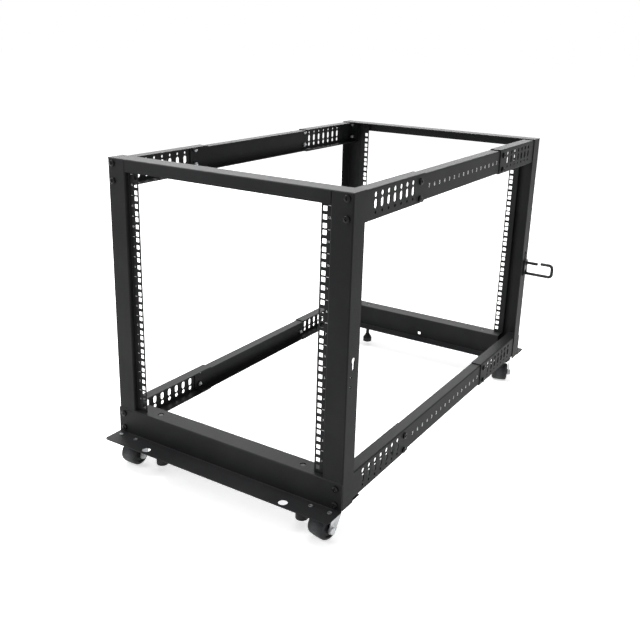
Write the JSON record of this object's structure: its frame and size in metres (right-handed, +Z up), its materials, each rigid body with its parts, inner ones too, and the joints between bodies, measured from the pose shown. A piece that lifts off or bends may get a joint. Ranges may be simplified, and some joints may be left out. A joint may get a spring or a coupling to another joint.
{
  "type": "four post open frame rack",
  "caption": "Open frame equipment rack of folded black steel: corner posts with square holes, base beams, top bars, slotted side rails, levelling feet and swivel casters.",
  "frame": {"origin": "on the floor under the middle of the whole rack, cable hook included, so the frame itself is centred at X = -41 mm", "axes": "+Z up, +X to the right seen from the front, -Y out of the front"},
  "size_m": [0.678, 1.106, 0.703],
  "materials": {
    "powder_black": "matte powder coat",
    "zinc_plate": "bright zinc plate",
    "wheel_rubber": "dull dark grey",
    "foot_black": "black",
    "hook_black": "black"
  },
  "bodies": {
    "rack": {"base_beam_front": "powder_black", "base_beam_rear": "powder_black", "cable_hook": "hook_black", "caster_plate_front_left": "zinc_plate", "caster_plate_front_right": "zinc_plate", "caster_plate_rear_left": "zinc_plate", "caster_plate_rear_right": "zinc_plate", "levelling_foot_front_left": "foot_black", "levelling_foot_front_right": "foot_black", "levelling_foot_rear_left": "foot_black", "levelling_foot_rear_right": "foot_black", "post_front_left": "powder_black", "post_front_right": "powder_black", "post_rear_left": "powder_black", "post_rear_right": "powder_black", "rail_bracket_low_front_left": "powder_black", "rail_bracket_low_front_right": "powder_black", "rail_bracket_low_rear_left": "powder_black", "rail_bracket_low_rear_right": "powder_black", "rail_bracket_top_front_left": "powder_black", "rail_bracket_top_front_right": "powder_black", "rail_bracket_top_rear_left": "powder_black", "rail_bracket_top_rear_right": "powder_black", "rail_slide_low_left": "powder_black", "rail_slide_low_right": "powder_black", "rail_slide_top_left": "powder_black", "rail_slide_top_right": "powder_black", "top_bar_front": "powder_black", "top_bar_rear": "powder_black"},
    "fork_front_left": {"caster_fork_front_left": "zinc_plate"},
    "wheel_front_left": {"caster_wheel_front_left": "wheel_rubber"},
    "fork_front_right": {"caster_fork_front_right": "zinc_plate"},
    "wheel_front_right": {"caster_wheel_front_right": "wheel_rubber"},
    "fork_rear_left": {"caster_fork_rear_left": "zinc_plate"},
    "wheel_rear_left": {"caster_wheel_rear_left": "wheel_rubber"},
    "fork_rear_right": {"caster_fork_rear_right": "zinc_plate"},
    "wheel_rear_right": {"caster_wheel_rear_right": "wheel_rubber"}
  },
  "joints": [
    {"name": "swivel_front_left", "type": "hinge", "parent": "rack", "child": "fork_front_left", "pos_m": [-0.2995, -0.48, 0.062], "axis": [0, 0, 1], "continuous": true},
    {"name": "roll_front_left", "type": "hinge", "parent": "fork_front_left", "child": "wheel_front_left", "pos_m": [-0.2995, -0.5, 0.025], "axis": [1, 0, 0], "continuous": true},
    {"name": "swivel_front_right", "type": "hinge", "parent": "rack", "child": "fork_front_right", "pos_m": [0.2175, -0.48, 0.062], "axis": [0, 0, 1], "continuous": true},
    {"name": "roll_front_right", "type": "hinge", "parent": "fork_front_right", "child": "wheel_front_right", "pos_m": [0.213, -0.49949, 0.025], "axis": [0.9744, -0.225, 0], "continuous": true},
    {"name": "swivel_rear_left", "type": "hinge", "parent": "rack", "child": "fork_rear_left", "pos_m": [-0.2995, 0.48, 0.062], "axis": [0, 0, 1], "continuous": true},
    {"name": "roll_rear_left", "type": "hinge", "parent": "fork_rear_left", "child": "wheel_rear_left", "pos_m": [-0.29534, 0.46044, 0.025], "axis": [0.9781, 0.2079, 0], "continuous": true},
    {"name": "swivel_rear_right", "type": "hinge", "parent": "rack", "child": "fork_rear_right", "pos_m": [0.2175, 0.48, 0.062], "axis": [0, 0, 1], "continuous": true},
    {"name": "roll_rear_right", "type": "hinge", "parent": "fork_rear_right", "child": "wheel_rear_right", "pos_m": [0.22301, 0.46077, 0.025], "axis": [0.9613, 0.2756, 0], "continuous": true}
  ]
}
